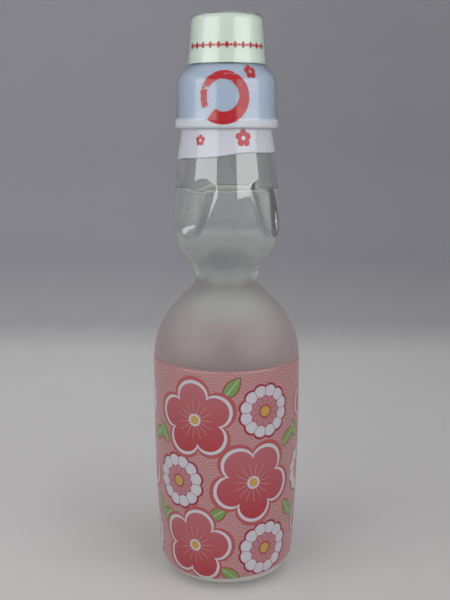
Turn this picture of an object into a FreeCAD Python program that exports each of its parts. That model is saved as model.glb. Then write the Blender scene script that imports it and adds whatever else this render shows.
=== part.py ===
"""Glass soda bottle closed from inside by a marble, with its press-on mouth, opener and shrink films.

The bottle stands on the XY plane with its axis on Z, and the two dents of its neck face -Y.
"""
import FreeCAD, Part
import math
import os
import Sketcher

# Driving dimensions in millimetres, angles in degrees, shares without a unit
SIZES = {
    # Barrel of the glass, from the foot up
    "barrel_radius": 29.75,
    "heel_draw": 1.9,
    "heel_width": 10.0,
    "heel_height": 11.5,
    "barrel_height": 81.5,
    "belly_share": 0.72,
    "shoulder_draw": 0.15,
    "punt_rim_width": 2.6,
    "punt_depth": 3.4,
    # Shoulder and pinched waist
    "shoulder_height": 31.3,
    "shoulder_full_share": 0.62,
    "waist_full_share": 0.2,
    "waist_radius": 12.4,
    # Marble chamber above the waist
    "funnel_height": 20.2,
    "funnel_low_share": 0.36,
    "funnel_high_share": 0.45,
    "chamber_radius": 21.1,
    "chamber_height": 37.9,
    "chamber_full_share": 0.51,
    "collar_full_share": 0.28,
    "collar_radius": 17.35,
    "collar_slope_share": 0.13,
    # Finish that the cap snaps on
    "finish_step": 1.0,
    "finish_radius": 16.4,
    "finish_height": 15.8,
    "bead_rise": 0.6,
    "bead_width": 1.4,
    "bead_drop": 9.6,
    "lip_round": 1.2,
    # Glass walls and inside
    "wall": 5.0,
    "floor_height": 9.6,
    "throat_radius": 7.25,
    "throat_full_share": 0.16,
    "chamber_wall": 3.2,
    "bore_clearance": 0.9,
    "crown_height": 6.0,
    "crown_share": 0.45,
    # Tall dents that catch the marble when the bottle is tipped, closer together at their upper ends
    "dent_radius": 9.0,
    "dent_depth": 2.0,
    "dent_wall": 3.2,
    "dent_height": 2.9,
    "dent_length": 10.2,
    "dent_draw": 0.3,
    "dent_spread_angle": 43.0,
    "dent_lean_angle": 9.0,
    "dent_turn_angle": 8.0,
    "dent_round": 2.5,
    # Marble and rubber ring
    "marble_radius": 8.4,
    "seat_clearance": 0.2,
    "seal_inner_radius": 6.7,
    "seal_width": 5.1,
    "seal_thickness": 3.2,
    "seal_round": 1.4,
    # Mouth cap that clips over the bead of the finish
    "cap_radius": 19.2,
    "cap_draft": 0.4,
    "cap_crown": 5.6,
    "dome_round": 8.0,
    "flange_rise": 0.55,
    "flange_height": 2.4,
    "collar_gap": 1.0,
    "mouth_radius": 7.4,
    "mouth_round": 1.2,
    "cap_clearance": 0.2,
    "socket_clearance": 0.1,
    "socket_wall": 1.4,
    "core_crown": 2.5,
    "snap_rise": 0.55,
    "snap_width": 0.8,
    # Opener: spacer ring with the pusher inside
    "opener_gap": 0.05,
    "opener_height": 17.7,
    "opener_base_radius": 15.1,
    "opener_top_radius": 13.55,
    "opener_bore": 11.0,
    "opener_round": 2.0,
    "bridge_width": 1.4,
    "bridge_height": 1.2,
    "bridge_gap": 0.1,
    "plunger_clearance": 0.6,
    "plunger_recess": 2.6,
    "plunger_plate": 2.2,
    "plunger_round": 0.7,
    "stem_radius": 5.4,
    "stem_web": 2.0,
    "stem_tip": 1.6,
    "stem_gap": 0.4,
    # Shrink film, whose skirt hangs below the collar, and label
    "film_clearance": 0.1,
    "film_thickness": 0.2,
    "film_web": 1.2,
    "film_span": 1.6,
    "film_ramp": 4.5,
    "film_hole": 9.0,
    "film_skirt": 9.6,
    "film_tilt_angle": 3.4,
    "label_low": 3.0,
    "label_clearance": 0.05,
    "label_thickness": 0.15,
    # Reach of a cutting solid past what it cuts
    "overrun": 2.0,
}
# Handle length of a Bezier curve that draws a quarter ellipse, as a share of its half axis
QUARTER_SHARE = 0.5523
# Largest part of a straight side that one rounded corner may take
ROUND_ROOM_SHARE = 0.48
# Largest part of a wall that the rounding of its edge may take
EDGE_ROOM_SHARE = 0.9
FLANGE_ROUND_SHARE = 0.8
HALF_SHARE = 0.5
BRIDGE_COUNT = 4
WEB_COUNT = 4
DENT_SIDES = (-1, 1)
AXIS_POINT = FreeCAD.Vector(0, 0, 0)
UP = FreeCAD.Vector(0, 0, 1)


class Size:
    """A length that carries its number together with the sheet formula that gives it."""

    def __init__(self, value, formula):
        self.value = value
        self.formula = formula

    def __add__(self, other):
        return Size(self.value + other.value, f"({self.formula} + {other.formula})")

    def __sub__(self, other):
        return Size(self.value - other.value, f"({self.formula} - {other.formula})")

    def times(self, share):
        return Size(self.value * share, f"({self.formula} * {share})")

    def limited(self, most):
        return Size(min(self.value, most.value), f"min({self.formula}; {most.formula})")

    def leg(self, other):
        """Other short side of the right triangle that has this length as its long side."""
        value = math.sqrt(self.value ** 2 - other.value ** 2)
        return Size(value, f"sqrt({self.formula} ^ 2 - {other.formula} ^ 2)")


ZERO = Size(0.0, "0")


def make_sheet(doc):
    """Write every driving dimension to the sheet under its own alias."""
    sheet = doc.addObject("Spreadsheet::Sheet", "Sizes")
    for row, (name, value) in enumerate(SIZES.items(), start=1):
        sheet.set(f"A{row}", name)
        sheet.set(f"B{row}", str(value))
        sheet.setAlias(f"B{row}", name)
    doc.recompute()
    return sheet


doc = FreeCAD.newDocument("marble_bottle")
sheet = make_sheet(doc)


def mm(name):
    """Number in one cell of the sheet."""
    return float(sheet.get(name))


def size(name):
    """Number in one cell, bound to that cell."""
    return Size(mm(name), f"Sizes.{name}")


# Heights and radii that several pieces share
heel_top = size("heel_height")
label_top = heel_top + size("barrel_height")
waist_top = label_top + size("shoulder_height")
chamber_top = waist_top + size("funnel_height")
collar_top = chamber_top + size("chamber_height")
lip_top = collar_top + size("finish_height")
seal_top = lip_top + size("seal_thickness")
cap_top = seal_top + size("cap_crown")
flange_low = collar_top + size("collar_gap")
flange_top = flange_low + size("flange_height")
flange_radius = size("cap_radius") + size("flange_rise")
cap_top_radius = size("cap_radius") - size("cap_draft")
bead_radius = size("finish_radius") + size("bead_rise")
bead_low = lip_top - size("bead_drop")
cap_bore = bead_radius + size("cap_clearance")
opener_low = cap_top + size("opener_gap")
opener_top = opener_low + size("opener_height")
plate_top = opener_top - size("plunger_recess")
plate_low = plate_top - size("plunger_plate")
plate_radius = size("opener_bore") - size("plunger_clearance")
bore_radius = size("marble_radius") + size("bore_clearance")

flange_round = size("flange_rise").times(FLANGE_ROUND_SHARE)
opener_wall = size("opener_top_radius") - size("opener_bore")
opener_round = size("opener_round").limited(opener_wall.times(EDGE_ROOM_SHARE))

# The marble rests under the rounded lower edge of the rubber ring
seal_round = size("seal_round").limited(size("seal_thickness").times(ROUND_ROOM_SHARE))
seat_ring_radius = size("seal_inner_radius") + seal_round
seat_reach = size("marble_radius") + seal_round + size("seat_clearance")
marble_height = lip_top + seal_round - seat_reach.leg(seat_ring_radius)
stem_low = marble_height + size("marble_radius") + size("stem_gap")


# Helpers for outlines that are turned about Z

def point(radius, height):
    return FreeCAD.Vector(radius, 0, height)


def line(start, end):
    return Part.LineSegment(start, end).toShape()


def bezier(*poles):
    curve = Part.BezierCurve()
    curve.setPoles(list(poles))
    return curve.toShape()


def turned(edges):
    """Solid of revolution of a closed outline."""
    face = Part.Face(Part.Wire(edges))
    return face.revolve(AXIS_POINT, UP, 360)


def rounded_chain(stations):
    """Edges along pairs of a corner and its round, with an arc in each corner that has a round."""
    corners = [corner for corner, _ in stations]
    edges = []
    start = corners[0]
    for index in range(1, len(corners) - 1):
        before, corner, after = corners[index - 1:index + 2]
        radius = stations[index][1]
        if radius is None:
            edges.append(line(start, corner))
            start = corner
            continue
        back = (before - corner).normalize()
        ahead = (after - corner).normalize()
        half_angle = back.getAngle(ahead) / 2
        room = ROUND_ROOM_SHARE * min(before.distanceToPoint(corner), after.distanceToPoint(corner))
        reach = min(radius / math.tan(half_angle), room)
        radius = reach * math.tan(half_angle)
        inward = (back + ahead).normalize()
        middle = corner + inward * (radius / math.sin(half_angle) - radius)
        edges.append(line(start, corner + back * reach))
        edges.append(Part.Arc(corner + back * reach, middle, corner + ahead * reach).toShape())
        start = corner + ahead * reach
    edges.append(line(start, corners[-1]))
    return edges


def feature(label, shape):
    """Document object for a free-form piece."""
    piece = doc.addObject("Part::Feature", label)
    piece.Label = label
    piece.Shape = shape
    piece.Placement = FreeCAD.Placement()
    return piece


# Helpers for bodies made of sketches

def origin_feature(body, role):
    """Plane or axis of a body's own origin."""
    return next(item for item in body.Origin.OriginFeatures if item.Role == role)


def bind_corner(sketch, index, corner):
    """Hold the start of one side at its two distances from the origin."""
    along, up = corner
    for kind, distance, axis in (("DistanceX", along, -2), ("DistanceY", up, -1)):
        if distance is ZERO:
            sketch.addConstraint(Sketcher.Constraint("PointOnObject", index, 1, axis))
            continue
        held = sketch.addConstraint(Sketcher.Constraint(kind, -1, 1, index, 1, distance.value))
        sketch.setExpression(f"Constraints[{held}]", distance.formula)


def outline_sketch(body, name, corners):
    """Closed outline in the XZ plane whose corners are bound to the sheet."""
    sketch = body.newObject("Sketcher::SketchObject", name)
    sketch.AttachmentSupport = (origin_feature(body, "XZ_Plane"), [""])
    sketch.MapMode = "FlatFace"
    points = [FreeCAD.Vector(along.value, up.value, 0) for along, up in corners]
    for index, start in enumerate(points):
        sketch.addGeometry(Part.LineSegment(start, points[(index + 1) % len(points)]), False)
    for index in range(len(points)):
        following = (index + 1) % len(points)
        sketch.addConstraint(Sketcher.Constraint("Coincident", index, 2, following, 1))
    for index, corner in enumerate(corners):
        bind_corner(sketch, index, corner)
    return sketch


def new_body(label):
    body = doc.addObject("PartDesign::Body", label)
    body.Label = label
    return body


def turn(body, name, corners):
    """Revolve a closed outline about the body's Z axis."""
    sketch = outline_sketch(body, f"{name}_outline", corners)
    revolution = body.newObject("PartDesign::Revolution", name)
    revolution.Profile = (sketch, [""])
    revolution.ReferenceAxis = (sketch, ["V_Axis"])
    revolution.Angle = 360
    doc.recompute()
    return revolution


def ring_edges(shape, radius, height):
    """Names of the circular edges at one radius and height."""
    names = []
    for index, edge in enumerate(shape.Edges, start=1):
        curve = edge.Curve
        if not isinstance(curve, Part.Circle):
            continue
        same_radius = math.isclose(curve.Radius, radius.value, rel_tol=1e-6)
        if same_radius and math.isclose(curve.Center.z, height.value, rel_tol=1e-6):
            names.append(f"Edge{index}")
    return names


def round_rings(body, name, radius, rings):
    """Fillet the circular edges at the given radii and heights."""
    base = body.Tip
    edges = []
    for ring_radius, height in rings:
        found = ring_edges(base.Shape, ring_radius, height)
        if not found:
            raise RuntimeError(f"{name}: no edge to round")
        edges += found
    fillet = body.newObject("PartDesign::Fillet", name)
    fillet.Base = (base, edges)
    fillet.setExpression("Radius", radius.formula)
    doc.recompute()
    return fillet


def rib_ring(body, name, corners, width, count):
    """Pad an outline to both sides of the XZ plane and repeat it round the Z axis."""
    before = body.Shape.Volume
    pad = body.newObject("PartDesign::Pad", name)
    pad.Profile = (outline_sketch(body, f"{name}_outline", corners), [""])
    pad.SideType = "Symmetric"
    pad.setExpression("Length", width.formula)
    doc.recompute()
    pattern = body.newObject("PartDesign::PolarPattern", f"{name}_ring")
    pattern.Originals = [pad]
    pattern.Axis = (origin_feature(body, "Z_Axis"), [""])
    pattern.Angle = 360
    pattern.Occurrences = count
    body.Tip = pattern
    doc.recompute()
    if body.Shape.Volume <= before:
        raise RuntimeError(f"{name}: the ribs add nothing")


# Glass

def barrel_edges(grow):
    """Heel and barrel of the glass, from the foot to the label's upper edge."""
    radius = mm("barrel_radius") + grow
    foot = point(radius - mm("heel_draw") - mm("heel_width"), 0)
    heel = point(radius - mm("heel_draw"), heel_top.value)
    belly = point(radius, heel_top.value + mm("belly_share") * mm("barrel_height"))
    edge = point(radius - mm("shoulder_draw"), label_top.value)
    low_handle = foot + FreeCAD.Vector(QUARTER_SHARE * mm("heel_width"), 0, 0)
    high_handle = heel - FreeCAD.Vector(0, 0, QUARTER_SHARE * mm("heel_height"))
    side = Part.Arc(heel, belly, edge).toShape()
    return foot, [bezier(foot, low_handle, high_handle, heel), side]


def leaving(edge):
    """Direction in which an edge leaves its end, upwards."""
    direction = edge.tangentAt(edge.LastParameter).normalize()
    return direction if direction.z > 0 else direction * -1


def neck_curve(start, start_way, waist, chamber, waist_share):
    """Shoulder and funnel: two smooth curves that meet upright at the waist."""
    rise = mm("shoulder_height")
    climb = mm("funnel_height")
    shoulder = bezier(
        start,
        start + start_way * (mm("shoulder_full_share") * rise),
        waist - UP * (waist_share * rise),
        waist,
    )
    funnel = bezier(
        waist,
        waist + UP * (mm("funnel_low_share") * climb),
        chamber - UP * (mm("funnel_high_share") * climb),
        chamber,
    )
    return [shoulder, funnel]


def chamber_curve(grow):
    """Upper side of the marble chamber, from its widest ring to the collar."""
    rise = mm("chamber_height")
    widest = point(mm("chamber_radius") + grow, chamber_top.value)
    collar = point(mm("collar_radius") + grow, collar_top.value)
    reach = mm("collar_full_share") * rise
    lean = FreeCAD.Vector(mm("collar_slope_share") * reach, 0, -reach)
    handle = widest + UP * (mm("chamber_full_share") * rise)
    return widest, collar, bezier(widest, handle, collar + lean, collar)


def glass_outside():
    """Solid outside form of the glass, with its punt still filled."""
    foot, edges = barrel_edges(0)
    widest, collar, chamber = chamber_curve(0)
    waist = point(mm("waist_radius"), waist_top.value)
    start = edges[-1].valueAt(edges[-1].LastParameter)
    edges += neck_curve(start, leaving(edges[-1]), waist, widest, mm("waist_full_share"))
    edges.append(chamber)
    finish = mm("finish_radius")
    bead = bead_radius.value
    slope = mm("bead_rise")
    bead_top = bead_low.value + mm("bead_width")
    edges += rounded_chain([
        (collar, None),
        (point(finish, collar_top.value + mm("finish_step")), None),
        (point(finish, bead_low.value - slope), None),
        (point(bead, bead_low.value), None),
        (point(bead, bead_top), None),
        (point(finish, bead_top + slope), None),
        (point(finish, lip_top.value), mm("lip_round")),
        (point(0, lip_top.value), None),
    ])
    edges.append(line(point(0, lip_top.value), AXIS_POINT))
    edges.append(line(AXIS_POINT, foot))
    return turned(edges)


def glass_inside():
    """Hollow of the glass: barrel, throat, marble chamber and bore."""
    wall = mm("wall")
    heel_reach = mm("heel_width") - wall / 2
    side = mm("barrel_radius") - wall
    low = side - mm("heel_draw")
    floor = mm("floor_height")
    heel = point(low, floor + mm("heel_height") - wall / 2)
    belly = point(side, heel_top.value + mm("belly_share") * mm("barrel_height"))
    edge = point(side - mm("shoulder_draw"), label_top.value)
    foot = point(low - heel_reach, floor)
    low_handle = foot + FreeCAD.Vector(QUARTER_SHARE * heel_reach, 0, 0)
    high_handle = point(low, heel.z - QUARTER_SHARE * (heel.z - floor))
    barrel = Part.Arc(heel, belly, edge).toShape()
    throat = point(mm("throat_radius"), waist_top.value)
    widest, collar, chamber = chamber_curve(-mm("chamber_wall"))
    bore_low = point(bore_radius.value, collar_top.value + mm("crown_height"))
    bore_high = point(bore_radius.value, lip_top.value + mm("overrun"))
    reach = UP * (mm("crown_share") * mm("crown_height"))
    crown = bezier(collar, collar + reach, bore_low - reach, bore_low)
    edges = [line(point(0, floor), foot), bezier(foot, low_handle, high_handle, heel), barrel]
    edges += neck_curve(edge, leaving(barrel), throat, widest, mm("throat_full_share"))
    edges += [chamber, crown, line(bore_low, bore_high)]
    edges += [line(bore_high, point(0, bore_high.z)), line(point(0, bore_high.z), point(0, floor))]
    return turned(edges)


def punt():
    """Shallow dome pressed up into the foot."""
    foot_radius = mm("barrel_radius") - mm("heel_draw") - mm("heel_width")
    rim = foot_radius - mm("punt_rim_width")
    depth = mm("punt_depth")
    ball_radius = (rim ** 2 + depth ** 2) / (2 * depth)
    return Part.makeSphere(ball_radius, point(0, depth - ball_radius))


def dent_lines():
    """Lower and upper end of the line that each dent follows, to either side of the bottle's front."""
    reach = mm("chamber_radius") + mm("dent_radius") - mm("dent_depth")
    low = chamber_top.value + mm("dent_height")
    half_lean = mm("dent_lean_angle") / 2
    ends = ((half_lean, reach, low), (-half_lean, reach - mm("dent_draw"), low + mm("dent_length")))
    lines = []
    for side in DENT_SIDES:
        stations = []
        for lean, radius, height in ends:
            turn_angle = math.radians(mm("dent_turn_angle") + side * (mm("dent_spread_angle") + lean))
            out = FreeCAD.Vector(math.sin(turn_angle), -math.cos(turn_angle), 0)
            stations.append(out * radius + UP * height)
        lines.append(stations)
    return lines


def rod(low, high, radius):
    """Round-ended rod about a line, with its seam turned away from the bottle's axis."""
    reach = high.distanceToPoint(low)
    slant = radius * math.sqrt(HALF_SHARE)
    shape = turned([
        Part.Arc(point(0, -radius), point(slant, -slant), point(radius, 0)).toShape(),
        line(point(radius, 0), point(radius, reach)),
        Part.Arc(point(radius, reach), point(slant, reach + slant), point(0, reach + radius)).toShape(),
        line(point(0, reach + radius), point(0, -radius)),
    ])
    out = FreeCAD.Vector(low.x, low.y, 0)
    turning = FreeCAD.Rotation(out, FreeCAD.Vector(), high - low, "ZXY")
    shape.Placement = FreeCAD.Placement(low, turning)
    return shape


def dent_rims(shape, lines, radius):
    """Edges where rods of one radius leave the wall."""
    rims = []
    for edge in shape.Edges:
        middle = Part.Vertex(edge.valueAt((edge.FirstParameter + edge.LastParameter) / 2))
        distances = [line(*ends).distToShape(middle)[0] for ends in lines]
        if any(math.isclose(distance, radius, rel_tol=1e-4) for distance in distances):
            rims.append(edge)
    return rims


def make_bottle_glass():
    lines = dent_lines()
    outside = glass_outside().cut(punt())
    inside = glass_inside()
    for low, high in lines:
        outside = outside.cut(rod(low, high, mm("dent_radius")))
        inside = inside.cut(rod(low, high, mm("dent_radius") + mm("dent_wall")))
    outside = outside.makeFillet(mm("dent_round"), dent_rims(outside, lines, mm("dent_radius")))
    return feature("bottle_glass", outside.cut(inside))


# Marble and its seat

def make_marble():
    marble = doc.addObject("Part::Sphere", "marble")
    marble.Label = "marble"
    marble.setExpression("Radius", size("marble_radius").formula)
    marble.setExpression("Placement.Base.z", marble_height.formula)
    return marble


def make_seal_ring():
    body = new_body("seal_ring")
    inner = size("seal_inner_radius")
    outer = inner + size("seal_width")
    corners = [(inner, lip_top), (outer, lip_top), (outer, seal_top), (inner, seal_top)]
    turn(body, "ring", corners)
    round_rings(body, "seat_round", seal_round, [(inner, lip_top), (inner, seal_top)])
    return body


# Mouth cap

def make_mouth_cap():
    """Press-on cap: flange, domed skirt, socket for the rubber ring, cored crown and snap rib."""
    body = new_body("mouth_cap")
    cap = size("cap_radius")
    mouth = size("mouth_radius")
    socket = size("seal_inner_radius") + size("seal_width") + size("socket_clearance")
    socket_outer = socket + size("socket_wall")
    socket_low = lip_top + size("cap_clearance")
    core_top = cap_top - size("core_crown")
    core_slope = size("dome_round").times(HALF_SHARE)
    snap = cap_bore - size("snap_rise")
    snap_high = bead_low - size("bead_rise") - size("snap_rise")
    snap_low = snap_high - size("snap_width")
    corners = [
        (cap_bore, flange_low),
        (flange_radius, flange_low),
        (flange_radius, flange_top),
        (cap, flange_top),
        (cap_top_radius, cap_top),
        (mouth, cap_top),
        (mouth, seal_top),
        (socket, seal_top),
        (socket, socket_low),
        (socket_outer, socket_low),
        (socket_outer, core_top),
        (cap_bore - core_slope, core_top),
        (cap_bore, core_top - core_slope),
        (cap_bore, snap_high + size("snap_rise")),
        (snap, snap_high),
        (snap, snap_low),
        (cap_bore, snap_low - size("snap_rise")),
    ]
    turn(body, "shell", corners)
    round_rings(body, "dome", size("dome_round"), [(cap_top_radius, cap_top)])
    round_rings(body, "mouth_edge", size("mouth_round"), [(mouth, cap_top)])
    flange_rings = [(flange_radius, flange_low), (flange_radius, flange_top)]
    round_rings(body, "flange_edge", flange_round, flange_rings)
    return body


# Opener

def make_opener_ring():
    """Spacer ring that keeps the pusher off the marble, with the bridges that hold the pusher."""
    body = new_body("opener_ring")
    bore = size("opener_bore")
    base = size("opener_base_radius")
    top = size("opener_top_radius")
    corners = [(bore, opener_low), (base, opener_low), (top, opener_top), (bore, opener_top)]
    turn(body, "ring", corners)
    round_rings(body, "top_edge", opener_round, [(top, opener_top)])
    tip = plate_radius + size("bridge_gap")
    root = bore + size("bridge_gap")
    bridge_top = plate_low + size("bridge_height")
    bridge = [(tip, plate_low), (root, plate_low), (root, bridge_top), (tip, bridge_top)]
    rib_ring(body, "bridge", bridge, size("bridge_width"), BRIDGE_COUNT)
    return body


def make_plunger():
    """Pusher: a thumb plate on a stem of crossed webs with a round tip."""
    body = new_body("plunger")
    stem = size("stem_radius")
    tip_top = stem_low + size("stem_tip")
    web = size("stem_web").times(HALF_SHARE)
    corners = [
        (ZERO, stem_low),
        (stem, stem_low),
        (stem, tip_top),
        (web, tip_top),
        (web, plate_low),
        (plate_radius, plate_low),
        (plate_radius, plate_top),
        (ZERO, plate_top),
    ]
    turn(body, "core", corners)
    round_rings(body, "plate_edge", size("plunger_round"), [(plate_radius, plate_top)])
    half = [(ZERO, tip_top), (stem, tip_top), (stem, plate_low), (ZERO, plate_low)]
    rib_ring(body, "web", half, size("stem_web"), WEB_COUNT)
    return body


# Films

def cap_wall_radius(height):
    """Radius of the cap's drafted wall at a height."""
    climb = (height - flange_top.value) / (cap_top.value - flange_top.value)
    return mm("cap_radius") - mm("cap_draft") * climb


def film_form(grow):
    """Solid inside of a film that lies the given distance outside opener, cap and neck."""
    widest, collar, chamber = chamber_curve(grow)
    web = mm("film_web")
    flange_edge = flange_round.value + grow
    # The film follows the cap's dome and leaves it along a tangent to the foot of the opener
    dome_low = cap_top.value - mm("dome_round")
    dome_centre = point(cap_wall_radius(dome_low) - mm("dome_round"), dome_low)
    dome_reach = mm("dome_round") + grow
    opener_foot = mm("opener_base_radius") + grow
    leave_angle = math.acos((opener_foot + mm("film_span") - dome_centre.x) / dome_reach)
    dome_points = []
    for turn_angle in (0, leave_angle / 2, leave_angle):
        out = point(math.cos(turn_angle), math.sin(turn_angle))
        dome_points.append(dome_centre + out * dome_reach)
    leave = dome_points[-1]
    opener_meet = point(opener_foot, leave.z + mm("film_span") / math.tan(leave_angle))
    ramp_top = flange_top.value + mm("film_ramp")
    top = point(0, opener_top.value + grow)
    low = point(0, chamber_top.value)
    edges = [chamber]
    edges += rounded_chain([
        (collar, None),
        (point(collar.x, flange_low.value - grow), None),
        (point(flange_radius.value + grow, flange_low.value - grow), flange_edge),
        (point(flange_radius.value + grow, flange_top.value + grow), flange_edge),
        (point(cap_wall_radius(ramp_top) + grow, ramp_top), None),
        (dome_points[0], None),
    ])
    edges.append(Part.Arc(*dome_points).toShape())
    edges += rounded_chain([
        (leave, None),
        (opener_meet, web),
        (point(mm("opener_top_radius") + grow, opener_top.value + grow), opener_round.value + grow),
        (top, None),
    ])
    edges += [line(top, low), line(low, widest)]
    return turned(edges)


def make_cap_film():
    """Shrink film over opener, cap and neck, open at the top and cut askew at its lower edge."""
    inside = mm("film_clearance")
    sleeve = film_form(inside + mm("film_thickness")).cut(film_form(inside))
    hole_low = opener_top.value
    hole = Part.makeCylinder(mm("film_hole"), mm("overrun"), point(0, hole_low))
    reach = 2 * mm("chamber_radius")
    edge_height = collar_top.value - mm("film_skirt")
    drop = edge_height - chamber_top.value + reach
    waste = Part.makeBox(2 * reach, 2 * reach, drop, FreeCAD.Vector(-reach, -reach, -drop))
    waste.Placement = FreeCAD.Placement(
        UP * edge_height, FreeCAD.Rotation(FreeCAD.Vector(0, -1, 0), mm("film_tilt_angle"))
    ).multiply(waste.Placement)
    return feature("cap_film", sleeve.cut(hole).cut(waste))


def label_form(grow):
    """Solid inside of a sleeve that lies the given distance outside the barrel."""
    foot, edges = barrel_edges(grow)
    edge = edges[-1].valueAt(edges[-1].LastParameter)
    edges.append(line(edge, point(0, edge.z)))
    edges += [line(point(0, edge.z), AXIS_POINT), line(AXIS_POINT, foot)]
    return turned(edges)


def make_body_label():
    inside = mm("label_clearance")
    sleeve = label_form(inside + mm("label_thickness")).cut(label_form(inside))
    reach = 2 * mm("barrel_radius")
    low = point(0, -mm("overrun"))
    waste = Part.makeCylinder(reach, mm("label_low") + mm("overrun"), low)
    return feature("body_label", sleeve.cut(waste))


def check_document():
    """Stop if any object of the document failed."""
    doc.recompute()
    for item in doc.Objects:
        if "Invalid" in item.State or "Error" in item.State:
            raise RuntimeError(f"{item.Label} failed: {item.State}")


def export(pieces):
    """Write one STEP file per piece, after all of them have proved sound."""
    for piece in pieces:
        shape = piece.Shape
        if shape.isNull() or not shape.isValid() or shape.Volume <= 0:
            raise RuntimeError(f"{piece.Label} has no sound shape")
    os.makedirs("parts", exist_ok=True)
    for piece in pieces:
        piece.Shape.exportStep(f"parts/{piece.Label}.step")
        box = piece.Shape.BoundBox
        print(piece.Label, len(piece.Shape.Solids), round(piece.Shape.Volume, 1),
              [round(v, 2) for v in (box.XMin, box.YMin, box.ZMin, box.XMax, box.YMax, box.ZMax)])


pieces = [
    make_bottle_glass(),
    make_mouth_cap(),
    make_seal_ring(),
    make_marble(),
    make_opener_ring(),
    make_plunger(),
    make_cap_film(),
    make_body_label(),
]
check_document()
export(pieces)
print("marble height", round(marble_height.value, 3))
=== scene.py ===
"""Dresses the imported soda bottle: glass, drink, marble, closure, shrink film, printed label and studio.

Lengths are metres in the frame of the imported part, with the bottle's axis on Z and its front at -Y.
"""
import math

import bmesh
import bpy
import numpy as np
from mathutils import Color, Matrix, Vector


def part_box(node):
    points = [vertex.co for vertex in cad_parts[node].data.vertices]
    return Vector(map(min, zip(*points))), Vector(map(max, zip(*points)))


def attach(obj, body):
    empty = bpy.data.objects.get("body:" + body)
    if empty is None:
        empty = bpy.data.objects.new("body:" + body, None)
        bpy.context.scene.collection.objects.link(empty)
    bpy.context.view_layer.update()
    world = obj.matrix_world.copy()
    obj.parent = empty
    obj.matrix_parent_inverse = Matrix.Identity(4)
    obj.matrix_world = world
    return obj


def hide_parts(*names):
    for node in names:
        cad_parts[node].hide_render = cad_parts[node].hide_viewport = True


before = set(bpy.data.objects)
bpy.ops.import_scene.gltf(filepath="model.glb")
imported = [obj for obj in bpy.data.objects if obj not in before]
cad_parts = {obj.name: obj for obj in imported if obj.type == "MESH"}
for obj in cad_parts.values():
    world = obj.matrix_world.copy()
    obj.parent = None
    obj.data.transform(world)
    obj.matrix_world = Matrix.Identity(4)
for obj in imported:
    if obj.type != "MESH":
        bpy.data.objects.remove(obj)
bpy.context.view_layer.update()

bl_info = {
    "name": "Marble stopper bottle",
    "version": (1, 0, 0),
    "blender": (4, 5, 0),
    "location": "View3D > Sidebar > Bottle",
    "description": "Dresses a packed soda bottle with glass, drink, printed films and a plain studio",
    "category": "Object",
}

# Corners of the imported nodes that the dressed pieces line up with
GLASS_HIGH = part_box("bottle_glass")[1]
CAP_LOW, CAP_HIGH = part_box("mouth_cap")
OPENER_LOW, OPENER_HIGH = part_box("opener_ring")
MARBLE_LOW, MARBLE_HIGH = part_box("marble")
LABEL_LOW, LABEL_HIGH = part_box("body_label")

# Handle length of a Bezier curve that draws a quarter ellipse, as a share of its half axis
QUARTER_SHARE = 0.5523
# Points that lie closer than this are one point
JOIN_DISTANCE = 1e-6
# Faces round each turned piece
SEGMENTS = 192
# Exponent of a dent's section, which is crisper at the rim the smaller it is
DENT_RIM_POWER = 1.4
# Longest step along the film's outline
FILM_STEP = 0.0006
# Waves of the film round the bottle, as rows of share of the height, number and phase
CUT_WAVES = ((0.5, 2, 0.6), (0.25, 5, 0))
FLARE_WAVES = ((0.4, 3, 2),)
TOP_WAVES = ((0.3, 2, -0.4), (0.2, 7, 1))

# Softness of the edges of printed forms, and of the fainter seams inside them
INK_EDGE = 0.00015
SEAM_EDGE = 0.0003
# Radii of the walls of cap and opener on which the film's print is laid out
CAP_PRINT_RADIUS = 0.0194
OPENER_PRINT_RADIUS = 0.0146
# Blossoms on the film, as rows of place aside, height and radius
FILM_BLOSSOMS = (
    (0.0098, 0.2036, 0.0026),
    (0.0068, 0.1795, 0.0034),
    (-0.0112, 0.1787, 0.0022),
)
# Leaves on the label, as rows of place aside, place up and lean in radians
LEAVES = (
    (0.0018, 0.0832, 0.9),
    (-0.0296, 0.0620, 2.3),
    (0.0288, 0.0602, 0.6),
    (-0.0040, 0.0316, 0.6),
    (0.0296, 0.0290, 2.2),
    (-0.0292, 0.0262, 0.7),
    (0.0016, 0.0052, 2.5),
)
# White flowers on the label, as rows of place aside, place up and radius
ROUND_FLOWERS = (
    (0.0156, 0.0732, 0.0105),
    (-0.0208, 0.0434, 0.0108),
    (0.0168, 0.0152, 0.0112),
)
# Red blossoms on the label, as rows of place aside, place up, radius and lean in radians
RED_BLOSSOMS = (
    (-0.0128, 0.0700, 0.0146, 0.2),
    (0.0108, 0.0446, 0.0154, 0.9),
    (-0.0136, 0.0172, 0.0144, 0.5),
)


def shown(red, green, blue):
    """Linear colour of a display colour given in steps from 0 to 255."""
    shares = [step / 255 for step in (red, green, blue)]
    # The numbers are those of the sRGB standard
    return tuple(s / 12.92 if s <= 0.04045 else ((s + 0.055) / 1.055) ** 2.4 for s in shares)


# Kinds of setting

def length(name, default, description):
    """Length in metres."""
    return bpy.props.FloatProperty(name=name, description=description, default=default,
                                   unit="LENGTH", precision=5)


def share(name, default, description):
    """Number from 0 to 1."""
    return bpy.props.FloatProperty(name=name, description=description, default=default,
                                   min=0, max=1, subtype="FACTOR")


def angle(name, degrees, description):
    """Angle, whose default is given in degrees."""
    return bpy.props.FloatProperty(name=name, description=description,
                                   default=math.radians(degrees), unit="ROTATION")


def colour(name, default, description):
    """Linear colour."""
    return bpy.props.FloatVectorProperty(name=name, description=description, default=default,
                                         size=3, min=0, max=1, subtype="COLOR")


def amount(name, default, description):
    """Number from 0 upwards."""
    return bpy.props.FloatProperty(name=name, description=description, default=default, min=0)


def group(name, kind, description):
    """Settings of one piece."""
    return bpy.props.PointerProperty(name=name, description=description, type=kind)


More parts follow.
